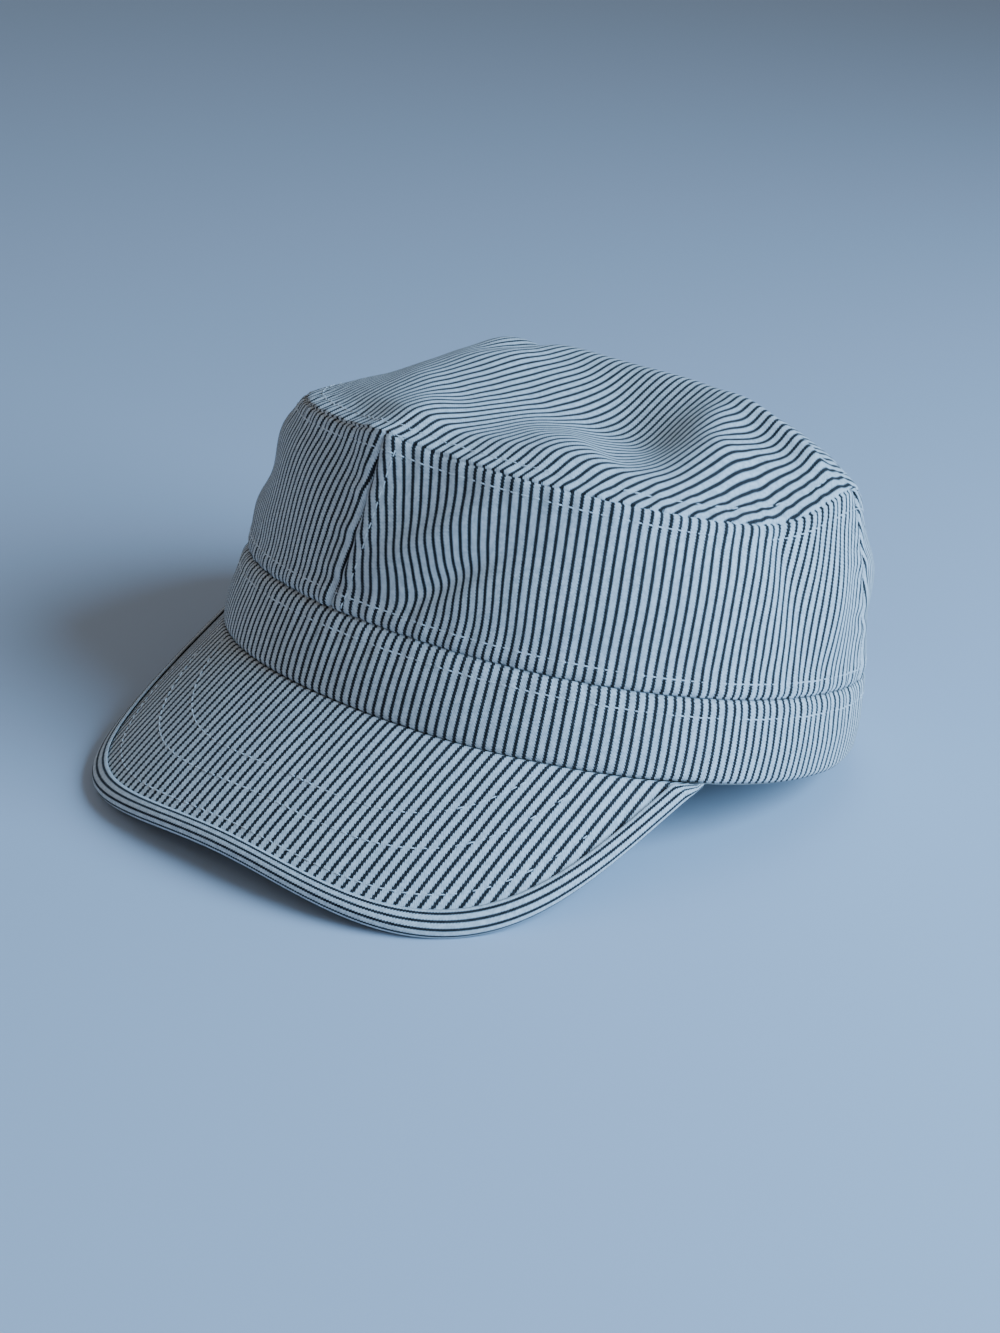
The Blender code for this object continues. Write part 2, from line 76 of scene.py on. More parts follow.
# Peak
PEAK_ANGLE = 62.2          # where the peak's edge leaves the rim
PEAK_HALF_WIDTH = 0.0768
PEAK_REACH = 0.0421        # beyond the rim at the centre front
PEAK_SLOPE = 0.752
PEAK_DROOP = 0.078         # extra slope, gained over the peak's reach
PEAK_TUCK = (38, 52)       # angles between which its edge sinks, to pass under the band
PEAK_SIDE_POWER = 0.662
PEAK_FRONT_POWER = 0.527
PEAK_BOARD = 0.0030
BINDING_WALL = 0.0010
BINDING_WIDTH = 0.0039

# Fit and rest
GAP = 0.0003               # between pieces that are sewn together
RIM_PRESS = 0.0009         # how far the back of the rim is pressed flat where it rests
PEAK_PRESS = 0.0002
MERGE = 0.000001

# Facets of the solids that touch the ground, from which the lean is worked out
RING_COLUMNS = 68
BINDING_COLUMNS = 46
EDGE_STEPS = 4001          # along the peak's edge, when its length is measured

# Crown wall, a row for each level from the band seam to the tip seam.  Heights above the band
# seam are shares of the crown height, and reaches are shares of the rim's in that direction.
LEVEL_COLUMNS = ("up_front", "up_left", "up_back", "up_right",
                 "out_front", "out_left", "out_back", "out_right", "power")
LEVELS = (
    (0.000, 0.000, 0.000, 0.000, 0.944, 0.977, 0.985, 0.977, 2.17),
    (0.330, 0.310, 0.330, 0.340, 0.938, 0.955, 0.970, 0.955, 2.17),
    (0.670, 0.610, 0.660, 0.690, 0.928, 0.915, 0.880, 0.905, 2.25),
    (1.000, 0.915, 0.955, 0.940, 0.915, 0.845, 0.713, 0.795, 2.35),
)

# Places where the tip seam stands up or out: angle, half width in degrees, rise as a share of
# the crown height, reach as a share of the rim's front.
SEAM_CORNERS = (
    (99.0, 17.0, 0.200, 0.000),
    (-4.0, 7.0, 0.040, 0.055),
)

# Seams between the wall panels: angle at the band and angle at the tip
FRONT_SEAM = (-9.0, -2.5)
LEFT_SEAM = (106.0, 100.0)
RIGHT_SEAM = (-110.0, -106.0)

PANELS = {
    "left": (FRONT_SEAM, LEFT_SEAM),
    "back": (LEFT_SEAM, tuple(angle + 360 for angle in RIGHT_SEAM)),
    "right": (RIGHT_SEAM, FRONT_SEAM),
}

# Folds of the wall: angle, share of the way up, then length, width and height as shares of the
# crown height, and slant in degrees (0 runs upright, more leans to the wearer's left).
WALL_FOLDS = (
    (-58.0, 0.50, 0.55, 0.13, 90.0, -0.036),
    (-52.0, 0.78, 0.55, 0.12, 90.0, 0.022),
    (-58.0, 0.24, 0.50, 0.12, 90.0, 0.026),
    (13.0, 0.34, 0.34, 0.070, 52.0, -0.046),
    (8.0, 0.54, 0.42, 0.095, 52.0, 0.034),
    (34.0, 0.66, 0.50, 0.200, 80.0, -0.024),
    (30.0, 0.30, 0.50, 0.150, 78.0, 0.020),
    (76.0, 0.72, 0.40, 0.150, -14.0, -0.040),
    (90.0, 0.52, 0.30, 0.160, 10.0, 0.032),
    (116.0, 0.64, 0.30, 0.150, 90.0, 0.032),
    (122.0, 0.34, 0.40, 0.120, 90.0, -0.024),
    (160.0, 0.55, 0.60, 0.130, 96.0, -0.030),
    (195.0, 0.72, 0.55, 0.140, 84.0, 0.026),
    (228.0, 0.45, 0.50, 0.140, 100.0, -0.028),
    (262.0, 0.66, 0.45, 0.130, 82.0, 0.024),
)
WALL_FOLD_FADE = 0.12      # share of the way up over which the folds begin

# Folds of the tip: place to the left and to the back, length and width as shares of the rim's
# side, slant in degrees (0 runs to the back), height as a share of the crown height.
TIP_FOLDS = (
    (-0.138, -0.755, 0.334, 0.150, 143.0, 0.085),
    (-0.329, -0.178, 0.429, 0.193, -7.5, 0.128),
    (0.450, -0.464, 0.156, 0.188, 66.5, -0.165),
    (0.179, -0.229, 0.191, 0.203, 59.0, -0.115),
    (0.320, -0.190, 0.300, 0.115, 125.0, -0.085),
    (0.438, -0.100, 0.102, 0.207, 77.0, 0.079),
    (0.620, -0.200, 0.220, 0.120, 30.0, 0.085),
    (0.168, 0.156, 0.487, 0.107, 88.0, 0.067),
    (0.640, 0.075, 0.260, 0.045, 99.0, 0.070),
    (0.560, 0.310, 0.300, 0.110, 99.0, 0.060),
    (-0.350, 0.080, 0.250, 0.055, 0.0, -0.045),
    (-0.490, 0.080, 0.220, 0.085, 0.0, 0.060),
    (0.723, -0.275, 0.341, 0.129, -5.0, -0.065),
    (0.475, -0.530, 0.410, 0.192, 39.0, 0.125),
    (0.000, 0.440, 0.600, 0.190, 90.0, -0.090),
)
TIP_FOLD_FADE = 0.15       # share of the way in from the seam where the folds die out


def oval(angle, front, left, back, right, power):
    """Reach of a smooth oval that has its own reach in each of four directions."""
    across = np.abs(np.sin(angle)) / np.where(np.sin(angle) > 0, left, right)
    along = np.abs(np.cos(angle)) / np.where(np.cos(angle) > 0, front, back)
    return (across**power + along**power) ** (-1 / power)


def around(angle, front, left, back, right):
    """Value that turns smoothly from one of four directions to the next."""
    along = np.where(np.cos(angle) > 0, front, back) * np.cos(angle) ** 2
    across = np.where(np.sin(angle) > 0, left, right) * np.sin(angle) ** 2
    return along + across


def turned(angle, degrees):
    """Turn from a direction in degrees to an angle, the short way round."""
    return (angle - radians(degrees) + pi) % (2 * pi) - pi


def bump(along, across, length, width):
    """A smooth long hill of height 1."""
    return np.exp(-(along / length) ** 2 - (across / width) ** 2)


def at_reach(angle, reach, height):
    """Points at an angle and a reach from the middle."""
    return np.stack([reach * np.sin(angle), -reach * np.cos(angle), height + 0 * reach], axis=-1)


def rim_reach_at(angle):
    return oval(angle, RIM_FRONT, RIM_SIDE, RIM_BACK, RIM_SIDE, RIM_POWER)


def level_at(share):
    """The level table's columns at a share of the way up, on a smooth curve through its rows."""
    table = np.array(LEVELS)
    last = len(table) - 1
    step = np.clip(np.floor(share * last).astype(int), 0, last - 1)
    part = (share * last - step)[..., None]
    low, high = table[step], table[step + 1]
    before = np.where((step > 0)[..., None], table[np.maximum(step - 1, 0)], 2 * low - high)
    after = np.where((step < last - 1)[..., None], table[np.minimum(step + 2, last)], 2 * high - low)
    curve = 2 * low + (high - before) * part
    curve += (2 * before - 5 * low + 4 * high - after) * part**2
    curve += (3 * low - before - 3 * high + after) * part**3
    return dict(zip(LEVEL_COLUMNS, np.moveaxis(curve / 2, -1, 0)))


def smooth_wall(angle, share):
    """The crown wall before its folds, at an angle and a share of the way up."""
    level = level_at(share)
    reach = oval(angle, level["out_front"] * RIM_FRONT, level["out_left"] * RIM_SIDE,
                 level["out_back"] * RIM_BACK, level["out_right"] * RIM_SIDE, level["power"])
    up = around(angle, level["up_front"], level["up_left"], level["up_back"], level["up_right"])
    for direction, width, rise, stand in SEAM_CORNERS:
        near = np.exp(-(turned(angle, direction) / radians(width)) ** 2) * share**2
        up = up + near * rise
        reach = reach + near * stand * RIM_FRONT
    return at_reach(angle, reach, BAND_HEIGHT + up * CROWN_HEIGHT)


def wall_reach(angle, share):
    point = smooth_wall(angle, share)
    return np.hypot(point[..., 0], point[..., 1])


def wall(angle, share):
    """Outer face of the crown wall with its folds."""
    angle, share = np.broadcast_arrays(np.asarray(angle, float), np.asarray(share, float))
    step = 0.001
    point = smooth_wall(angle, share)
    sideways = smooth_wall(angle + step, share) - smooth_wall(angle - step, share)
    above = smooth_wall(angle, np.minimum(share + step, 1))
    upwards = above - smooth_wall(angle, np.maximum(share - step, 0))
    normal = np.cross(sideways, upwards)
    normal /= np.linalg.norm(normal, axis=-1, keepdims=True)
    height = np.zeros(angle.shape)
    for direction, place, length, width, slant, rise in WALL_FOLDS:
        aside = turned(angle, direction) * RIM_SIDE
        above = (share - place) * CROWN_HEIGHT
        lean_sin, lean_cos = np.sin(radians(slant)), np.cos(radians(slant))
        along = aside * lean_sin + above * lean_cos
        across = aside * lean_cos - above * lean_sin
        height += rise * CROWN_HEIGHT * bump(along, across, length * CROWN_HEIGHT, width * CROWN_HEIGHT)
    edge = np.clip(share / WALL_FOLD_FADE, 0, 1)
    return point + normal * (height * edge)[..., None]


def tip(angle, share):
    """Outer face of the crown's tip, from its middle at share 0 to the tip seam at share 1."""
    angle, share = np.broadcast_arrays(np.asarray(angle, float), np.asarray(share, float))
    seam = wall(angle, np.ones_like(angle))
    x, y = seam[..., 0] * share, seam[..., 1] * share
    middle = BAND_HEIGHT + TIP_RISE * CROWN_HEIGHT
    bend = (seam[..., 2] - middle - TIP_SLOPE * seam[..., 1]) * share**TIP_ROUND
    height = np.zeros(angle.shape)
    for left, back, length, width, slant, rise in TIP_FOLDS:
        aside, behind = x - left * RIM_SIDE, y - back * RIM_SIDE
        lean_sin, lean_cos = np.sin(radians(slant)), np.cos(radians(slant))
        along = aside * lean_sin + behind * lean_cos
        across = aside * lean_cos - behind * lean_sin
        height += rise * CROWN_HEIGHT * bump(along, across, length * RIM_SIDE, width * RIM_SIDE)
    fade = np.clip((1 - share) / TIP_FOLD_FADE, 0, 1)
    height *= fade**2 * (3 - 2 * fade)
    return np.stack([x, y, middle + TIP_SLOPE * y + bend + height], axis=-1)


def band_reach(angle, share):
    """Reach of the band's outer face, at a share of the way up."""
    top = wall_reach(angle, np.zeros_like(angle))
    bottom = rim_reach_at(angle)
    return bottom + (top - bottom) * share + BAND_BULGE * np.sin(pi * share)


def rim_height(angle):
    """Height of the rim's lower edge, slack at the wearer's left."""
    return -RIM_DIP * np.exp(-(turned(angle, RIM_DIP_ANGLE) / radians(RIM_DIP_WIDTH)) ** 2)


def band_section(angle, outward, share):
    """A point of the band: outward 1 is its outer face, 0 its inner face."""
    reach = np.where(outward > 0, band_reach(angle, share), band_reach(angle, share * 0) - BAND_WALL)
    top_wall = band_reach(angle, np.ones_like(angle)) - BAND_WALL
    reach = np.where((outward == 0) & (share > 0.5), top_wall, reach)
    low = rim_height(angle)
    return at_reach(angle, reach, low + (BAND_HEIGHT - GAP / 2 - low) * share)


def sweatband_section(angle, outward, share):
    """A point of the sweatband inside the band, whose lower edge shows below it."""
    outer = band_reach(angle, np.round(share)) - BAND_WALL - GAP
    reach = outer - SWEATBAND_WALL * (1 - outward)
    low = rim_height(angle) - SWEATBAND_HANG
    return at_reach(angle, reach, low + (BAND_HEIGHT - BAND_WALL - low) * share)


BAND_PROFILE = ((1, 0.0), (1, 0.3), (1, 0.7), (1, 1.0), (0, 1.0), (0, 0.0))
SWEATBAND_PROFILE = ((1, 0.0), (1, 1.0), (0, 1.0), (0, 0.0))


def rim_ahead(x):
    """How far the rim reaches towards -Y at a distance from the middle plane."""
    share = np.clip(np.abs(x) / RIM_SIDE, 0, RIM_MOST)
    return RIM_FRONT * (1 - share**RIM_POWER) ** (1 / RIM_POWER)


def peak_ahead(x, y):
    return -y - rim_ahead(x)


def peak_tuck(angle):
    """How far the peak sinks at an angle, so that its binding fits under the band."""
    start, end = PEAK_TUCK
    share = np.clip((np.abs(np.degrees(angle)) - start) / (end - start), 0, 1)
    return (BINDING_WALL + GAP) * share**2 * (3 - 2 * share)


def peak_surface(x, y, least=0.0):
    """Top face of the peak's board: a bent sheet that falls away from the rim."""
    ahead = np.maximum(peak_ahead(x, y), least)
    angle = np.arctan2(x, -y)
    fall = GAP + PEAK_SLOPE * ahead + PEAK_DROOP * ahead**2 / PEAK_REACH + peak_tuck(angle)
    return np.stack([x, y, rim_height(angle) - fall], axis=-1)


def peak_outline(turn, inset):
    """Plan of the peak's edge, moved in by inset; turn runs from -1 to 1 round the edge."""
    corner = radians(PEAK_ANGLE)
    reach = rim_reach_at(np.array(corner))
    side, front = reach * np.sin(corner), reach * np.cos(corner)
    depth = RIM_FRONT + PEAK_REACH - front
    swing = np.sin(turn * pi / 2)
    forward = np.abs(np.cos(turn * pi / 2)) ** PEAK_FRONT_POWER
    half = (1 - forward) * (side - inset) + forward * (PEAK_HALF_WIDTH - inset)
    x = np.sign(swing) * np.abs(swing) ** PEAK_SIDE_POWER * half
    return x, -front - (depth - inset) * forward


def peak_end(inset, clearance):
    """Turn at which the edge, moved in by inset, still clears the rim."""
    turn = np.linspace(0.5, 1, EDGE_STEPS)
    clear = peak_ahead(*peak_outline(turn, inset)) > clearance
    return turn[clear][-1]


def edge_turn(column, inset, end):
    """Turn at a share of the way along the peak's edge, measured by its length."""
    turn = np.linspace(-end, end, EDGE_STEPS)
    x, y = peak_outline(turn, inset)
    run = np.concatenate([[0.0], np.cumsum(np.hypot(np.diff(x), np.diff(y)))])
    return np.interp(column * run[-1], run, turn)


def peak_spot(column, inset, end, inward, tuck):
    """Plan of a spot of the peak: inward is 0 at its edge and 1 at the rim or tucked behind it."""
    edge_x, edge_y = peak_outline(edge_turn(column, inset, end), inset)
    last_x, last_y = peak_outline(np.array(end), inset)
    angle = (2 * column - 1) * np.arctan2(last_x, -last_y)
    rim = at_reach(angle, rim_reach_at(angle) - tuck, 0)
    return edge_x + (rim[..., 0] - edge_x) * inward, edge_y + (rim[..., 1] - edge_y) * inward


def peak_normal(turn, inset):
    """Upward direction square to the peak's top face near its edge."""
    x, y = peak_outline(turn, inset)
    step = 0.0001
    sideways = peak_surface(x + step, y, -RIM_SIDE) - peak_surface(x - step, y, -RIM_SIDE)
    backwards = peak_surface(x, y + step, -RIM_SIDE) - peak_surface(x, y - step, -RIM_SIDE)
    normal = np.cross(sideways, backwards)
    return normal / np.linalg.norm(normal, axis=-1, keepdims=True)


def binding_width(turn):
    """The binding's width, narrower where its inner edge passes under the band."""
    edge = peak_ahead(*peak_outline(turn, 0.0)) - GAP
    inner = peak_ahead(*peak_outline(turn, BINDING_WIDTH)) - GAP
    return BINDING_WIDTH * np.where(inner < 0, edge / (edge - inner), 1.0)


# Section of the binding round the peak's edge: share of its width in from the edge, and height
# from the board's middle as a share of half the binding's thickness.
BINDING_PROFILE = ((1.00, 1.0), (0.40, 1.0), (0.08, 0.6), (0.00, 0.0), (0.08, -0.6), (0.40, -1.0),
                   (0.80, -1.0))
BINDING_INSIDE = ((0.80, -1.0), (0.00, -1.0), (0.00, 1.0), (1.00, 1.0))
BINDING_LOOP = ([(1, share, height) for share, height in BINDING_PROFILE]
                + [(0, share, height) for share, height in BINDING_INSIDE])


def binding_thickness():
    return PEAK_BOARD + 2 * (GAP + BINDING_WALL)


def binding_point(turn, outward, share, height):
    """A point of the binding's outer face (outward 1) or its inner face (outward 0)."""
    wall_part = BINDING_WALL * (1 - outward)
    inset = np.maximum(share * binding_width(turn), wall_part)
    x, y = peak_outline(turn, inset)
    half = binding_thickness() / 2 - wall_part
    offset = height * half - PEAK_BOARD / 2
    normal = peak_normal(turn, BINDING_WALL)
    return peak_surface(x, y) + normal * offset[..., None]


def binding_place(column, row):
    """Closed section of the binding, swept round the peak's edge."""
    index = np.round(row * len(BINDING_LOOP)).astype(int) % len(BINDING_LOOP)
    turn = edge_turn(column, 0.0, peak_end(2 * BINDING_WALL, GAP))
    outward, share, height = np.moveaxis(np.array(BINDING_LOOP)[index], -1, 0)
    return binding_point(turn, outward, share, height)


def section_place(section, profile):
    """Place function of a closed band profile, swept all the way round the rim."""
    def place(column, row):
        index = np.round(row * len(profile)).astype(int) % len(profile)
        outward, share = np.moveaxis(np.array(profile, float)[index], -1, 0)
        return section(column * 2 * pi, outward, share)

    return place


def grid_shares(columns, rows):
    """Shares of the way along and up, at the corners of a grid."""
    column, row = np.meshgrid(np.linspace(0, 1, columns + 1), np.linspace(0, 1, rows + 1))
    return column.ravel(), row.ravel()


def height_when_leant(points, lean):
    return points[..., 2] * np.cos(lean) - points[..., 1] * np.sin(lean)


def rest():
    """How far the cap leans back, and the floor's height then, when peak and rim touch it."""
    edge = binding_place(*grid_shares(BINDING_COLUMNS, len(BINDING_LOOP)))
    rim = section_place(band_section, BAND_PROFILE)(*grid_shares(RING_COLUMNS, len(BAND_PROFILE)))
    low, high = 0.0, pi / 4
    for _ in range(50):
        lean = (low + high) / 2
        peak_floor = height_when_leant(edge, lean).min() + PEAK_PRESS
        rim_floor = height_when_leant(rim, lean).min() + RIM_PRESS
        if peak_floor < rim_floor:
            low = lean
        else:
            high = lean
    return lean, rim_floor


def pressed(points, lean, floor):
    """Points of cloth, with those that would reach below the floor flattened on it."""
    below = np.minimum(height_when_leant(points, lean) - floor, 0)
    up = np.array([0.0, -np.sin(lean), np.cos(lean)])
    return points - below[..., None] * up


# Grids of the visible cloth
WALL_COLUMNS = {"left": 220, "back": 260, "right": 220}
WALL_ROWS_FINE = 96
TIP_COLUMNS_FINE = 360
TIP_ROWS_FINE = 90
BAND_COLUMNS_FINE = 420
BAND_ROWS_FINE = 40
TAPE_COLUMNS = 240
TAPE_ROWS = 4
PEAK_COLUMNS_FINE = 240
PEAK_ROWS_FINE = 56
BINDING_COLUMNS_FINE = 360
BINDING_ROWS_FINE = 40
ARC_STEPS = 6001           # round the band, when its length is measured
PATH_STEPS = 500           # along a row of stitches
RING_PATH_STEPS = 1500     # along one that goes all the way round
EDGE_PATH_STEPS = 800
GRAIN_STEPS = 12
NORMAL_STEP = 0.0008

# Seams: grooves, the swell beside them and the ripples where stitches draw the cloth in
SEAM_DIP = 0.0006          # depth of the groove that a seam pulls into the cloth
SEAM_DIP_WIDTH = 0.0008
TIP_UNDERCUT = 0.0007      # extra groove of the wall under the tip's edge
TIP_EDGE_DIP = 0.4         # share of the usual dip at the tip's own edge
SEAM_PUFF = 0.0004         # swell of the cloth beside a seam
SEAM_PUFF_PLACE = 0.0030
STITCH_DIP = 0.00012       # how far a row of stitches pulls the cloth in
STITCH_DIP_WIDTH = 0.0006
PUCKER = 0.00022
PUCKER_LENGTH = 0.0095
PUCKER_DRIFT = 0.023       # run over which their length wanders
PUCKER_REACH = 0.009       # distance from the seam over which they die out
PUCKER_SEEDS = {"wall_foot": 0.7, "wall_top": 2.9, "tip": 5.2, "band": 3.7}
HEM_ROLL = 0.0008          # of the band's lower edge
HEM_ROLL_WIDTH = 0.0009

# Grooves at a panel's first and last seam, as shares of the usual one, and the seeds of their
# ripples, which both sides of a seam share
SEAM_DEPTHS = {"left": (1.3, 1.0), "back": (1.0, 1.0), "right": (1.0, 1.3)}
SEAM_SEEDS = {"left": (1.1, 4.1), "back": (4.1, 2.3), "right": (2.3, 1.1)}

# Soft unevenness of worn cloth: lengths of its waves and of their wandering, height and seed for
# each piece, and distances from a seam over which it begins
RIPPLE_LENGTHS = (0.0042, 0.0049, 0.0031)
RIPPLE_DRIFTS = (0.0071, 0.0083, 0.0094)
RIPPLES = {"wall": (0.00018, 1.9), "tip": (0.00025, 3.3),
           "band": (0.00015, 6.1), "peak": (0.00016, 4.4)}
RIPPLE_START = 0.010
RIPPLE_NEAR_START = 0.008
PEAK_RIPPLE_START = 0.1    # share of the way in from the peak's edge or out from the band

# Topstitching
STITCH_INSET = 0.0047      # from a seam to its row
STITCH_PITCH = 0.0031
STITCH_LENGTH = 0.0019
THREAD_RADIUS = 0.00018
STITCH_ARCH = (-0.8, 0.5, 0.8, 0.5, -0.8)  # height along a stitch, in radii
FRONT_STITCH_COLUMN = 0.026  # share of the way across its panel
FRONT_STITCH_ENDS = (0.02, 0.96)  # share of the way up where that row starts, and its run
TIP_REACH = 0.086          # from the tip's middle to its seam, on average
PEAK_STITCH_INSETS = (0.0064, 0.0145, 0.0215)

# Band
BAND_OUTSIDE = 0.70        # share of its rows on the outer face
BAND_TURN = -0.004         # the cloth's run where it turns in

# Peak and binding
PEAK_CLOSE = 0.9           # share of the peak's tuck that its cloth takes up again
PEAK_COVER_INSET = 0.0012  # from the peak's edge to the cover's
PEAK_COVERED = 0.98        # share of the cover's rows in front of the band
BINDING_OUTSIDE = 0.72     # share of the binding's rows on its outer face
BINDING_LEG = 0.28         # share of those on each of its two flat legs
BINDING_NOSE = 0.6         # length of the nose, as a share of the half thickness or the width
BINDING_ROLL = 0.0005      # how far its two edges are rolled in
BINDING_ROLL_WIDTH = 0.0006
BINDING_WRAP = 0.012       # about the length round its outer face
BINDING_INNER_TURN = 16    # how sharply its inner face turns at the board's edge
BINDING_LEAST = 0.0012     # width at which the binding ends under the band
BINDING_RUN_TURN = 0.3     # place along the edge where the run round it is measured
BINDING_RUN_STEPS = 200

# Cloth pattern, lengths in millimetres
STRIPE_PITCH = 2.746
STRIPE_HALF = 0.54
STRIPE_BLUR = 0.05
STRIPE_WANDER = 0.10
TWILL_STEP = 0.82          # between the steps of a stripe's edge
TWILL_LEAN = 0.42          # how far each step goes aside
TWILL_PITCH = 0.75
WEFT_PITCH = 0.28
WANDER_SCALE = 120.0       # scales of the noise, for each metre
FLECK_SCALE = 900.0
CLOUD_SCALE = 35.0
TAPE_SCALE = 700.0
THREAD_SCALE = 2500.0

# Where the stripes lie: direction of each panel's middle stripe in degrees, then the phases and
# runs of the other pieces in metres
GRAIN = {"left": 50.0, "back": 180.0, "right": -58.0}
TIP_PITCH = 2.526          # pitch of the tip's stripes, seen from above
TIP_PHASE = 0.0396
PEAK_PHASE = 0.04398
PEAK_RUN_MOST = 0.985      # share of the rim's side up to which its run is measured
BINDING_STRIPES = 1.4      # how much closer the stripes lie on the binding
BINDING_PHASE = 0.00093
EDGE_LENGTH = 0.30         # of the peak's outer edge, from one end to the other
TAPE_LENGTH = 0.6
TAPE_WRAP = 0.04

# Places where a fold pulls the stripes aside: panel, angle, share of the way up, their half
# widths, and the shift towards the wearer's left in metres
PULLS = (
    ("left", 12.0, 0.20, 14.0, 0.26, 0.0036),
    ("left", 84.0, 1.00, 17.0, 0.38, 0.0050),
    ("left", -6.0, 0.00, 24.0, 0.75, 0.0062),
    ("right", -8.0, 0.00, 30.0, 0.80, -0.0108),
    ("right", -24.0, 0.55, 13.0, 0.30, -0.0016),
    ("right", -34.0, 0.10, 16.0, 0.20, 0.0020),
)

# Colours
WHITE_YARN = (0.84, 0.815, 0.78, 1.0)
GREY_YARN = (0.62, 0.60, 0.575, 1.0)
DARK_YARN = (0.016, 0.014, 0.014, 1.0)
DARK_YARN_WORN = (0.048, 0.044, 0.044, 1.0)
TAPE_COLOURS = ((0.60, 0.54, 0.46, 1.0), (0.50, 0.45, 0.38, 1.0))
THREAD_COLOURS = ((0.88, 0.86, 0.83, 1.0), (0.76, 0.74, 0.71, 1.0))
FLOOR_COLOUR = (0.63, 0.67, 0.75, 1.0)
SKY_COLOUR = (0.82, 0.90, 1.0, 1.0)
SKY_STRENGTH = 0.20

# The Mix node has sockets for each data type, so those of a colour go by their place
MIX_SOCKETS = (0, 6, 7)
MIX_RESULT = 2

# Lights: name, place, width, power in watts and colour
LIGHTS = (
    ("window", (1.12, 0.27, 0.74), 1.1, 43.0, (0.31, 0.60, 1.0)),
    ("fill", (-0.5, -1.0, 0.8), 1.2, 0.8, (0.80, 0.90, 1.0)),
)
LIGHT_AIM = (0.0, 0.0, 0.05)
FLOOR_HALF = 6.0

# Camera: where the photograph was taken from, found from the cap's own outline
PHOTO_HEIGHT = 1333
PHOTO_MIDDLE = (500.0, 666.5)
CAMERA_AZIMUTH = 36.04
CAMERA_ELEVATION = 23.32
CAMERA_ROLL = 4.81
CAMERA_DISTANCE = 0.6885
FOCAL_PIXELS = 2300.4
AIM_PIXEL = (560.7, 516.9)
AIM_HEIGHT = 0.05          # the aim is above the middle of the rim
PHOTO_LEAN = 0.191         # how far the cap leant back when the camera was found
SENSOR = 36.0
NEAREST = 0.01


def dip(distance):
    """Height of the cloth at a distance from a seam, in metres."""
    puff = SEAM_PUFF * np.exp(-((distance - SEAM_PUFF_PLACE) / SEAM_PUFF_PLACE) ** 2)
    groove = SEAM_DIP * np.exp(-(distance / SEAM_DIP_WIDTH) ** 2)
    stitches = STITCH_DIP * np.exp(-((distance - STITCH_INSET) / STITCH_DIP_WIDTH) ** 2)
    return puff - groove - stitches


def pucker(run, distance, seed):
    """Small ripples along a seam, which die out with the distance from it."""
    drift = 1.3 * np.sin(run / PUCKER_DRIFT + seed)
    wave = np.sin(2 * pi * run / PUCKER_LENGTH + seed + drift)
    wave = wave + 0.5 * np.sin(2 * pi * run / (0.61 * PUCKER_LENGTH) + 2.1 * seed)
    return PUCKER * wave * np.exp(-(distance / PUCKER_REACH) ** 2)


def ripple(a, b, piece):
    """Soft unevenness of a piece's worn cloth, over about 20 mm."""
    most, seed = RIPPLES[piece]
    first, second, third = RIPPLE_LENGTHS
    first_drift, second_drift, third_drift = RIPPLE_DRIFTS
    total = np.sin(a / first + seed + np.sin(b / first_drift + 2 * seed))
    total = total + np.sin(b / second + 1.7 * seed + 1.4 * np.sin(a / second_drift))
    total = total + 0.7 * np.sin((a + b) / third + 0.6 * seed + np.sin((a - b) / third_drift))
    return most * (total / 2.7)


def run_along(path):
    """Length of a path from its first point to each of its points."""
    return np.concatenate([[0], np.cumsum(np.linalg.norm(np.diff(path, axis=0), axis=1))])


def surface_normal(surface, a, b):
    """Outward direction of a surface that is given by two coordinates."""
    one = surface(a + NORMAL_STEP, b) - surface(a - NORMAL_STEP, b)
    two = surface(a, np.minimum(b + NORMAL_STEP, 1)) - surface(a, np.maximum(b - NORMAL_STEP, 0))
    normal = np.cross(one, two)
    return normal / np.maximum(np.linalg.norm(normal, axis=-1, keepdims=True), 1e-12)


def seam_relief(side, angle, share, from_start, from_end):
    """Height of a panel's grooves, swells and ripples beside its four seams."""
    from_band = share * CROWN_HEIGHT
    from_tip = (1 - share) * CROWN_HEIGHT
    run = angle * RIM_SIDE
    start_depth, end_depth = SEAM_DEPTHS[side]
    start_seed, end_seed = SEAM_SEEDS[side]
    height = dip(from_band) + dip(from_tip)
    height = height + start_depth * dip(from_start) + end_depth * dip(from_end)
    height = height + pucker(run, from_band, PUCKER_SEEDS["wall_foot"])
    height = height + pucker(run, from_tip, PUCKER_SEEDS["wall_top"])
    height = height - TIP_UNDERCUT * np.exp(-(from_tip / SEAM_DIP_WIDTH) ** 2)
    height = height + pucker(from_tip, from_start, start_seed)
    height = height + pucker(from_tip, from_end, end_seed)
    fade = np.clip(from_band / RIPPLE_START, 0, 1) * np.clip(from_tip / RIPPLE_NEAR_START, 0, 1)
    return height + ripple(run, from_tip, "wall") * fade


def fine_panel(side):
    """Place function of a panel's visible face, with its seams drawn in."""
    def place(column, share):
        first, last = PANELS[side]
        start = radians(1) * (first[0] + (first[1] - first[0]) * share)
        end = radians(1) * (last[0] + (last[1] - last[0]) * share)
        angle = start + (end - start) * column
        reach = wall_reach(angle, share)
        height = seam_relief(side, angle, share, (angle - start) * reach, (end - angle) * reach)
        normal = surface_normal(wall, angle, share)
        points = wall(angle, share) + normal * height[..., None]
        across = grain_run(side, angle, share) - pull(side, angle, share)
        return points, across, share * CROWN_HEIGHT

    return place


def pull(side, angle, share):
    """How far folds pull the stripes of a panel aside."""
    shift = np.zeros_like(angle)
    for panel_name, direction, place, width, height, most in PULLS:
        if panel_name == side:
            shift += most * bump(turned(angle, direction), share - place, radians(width), height)
    return shift


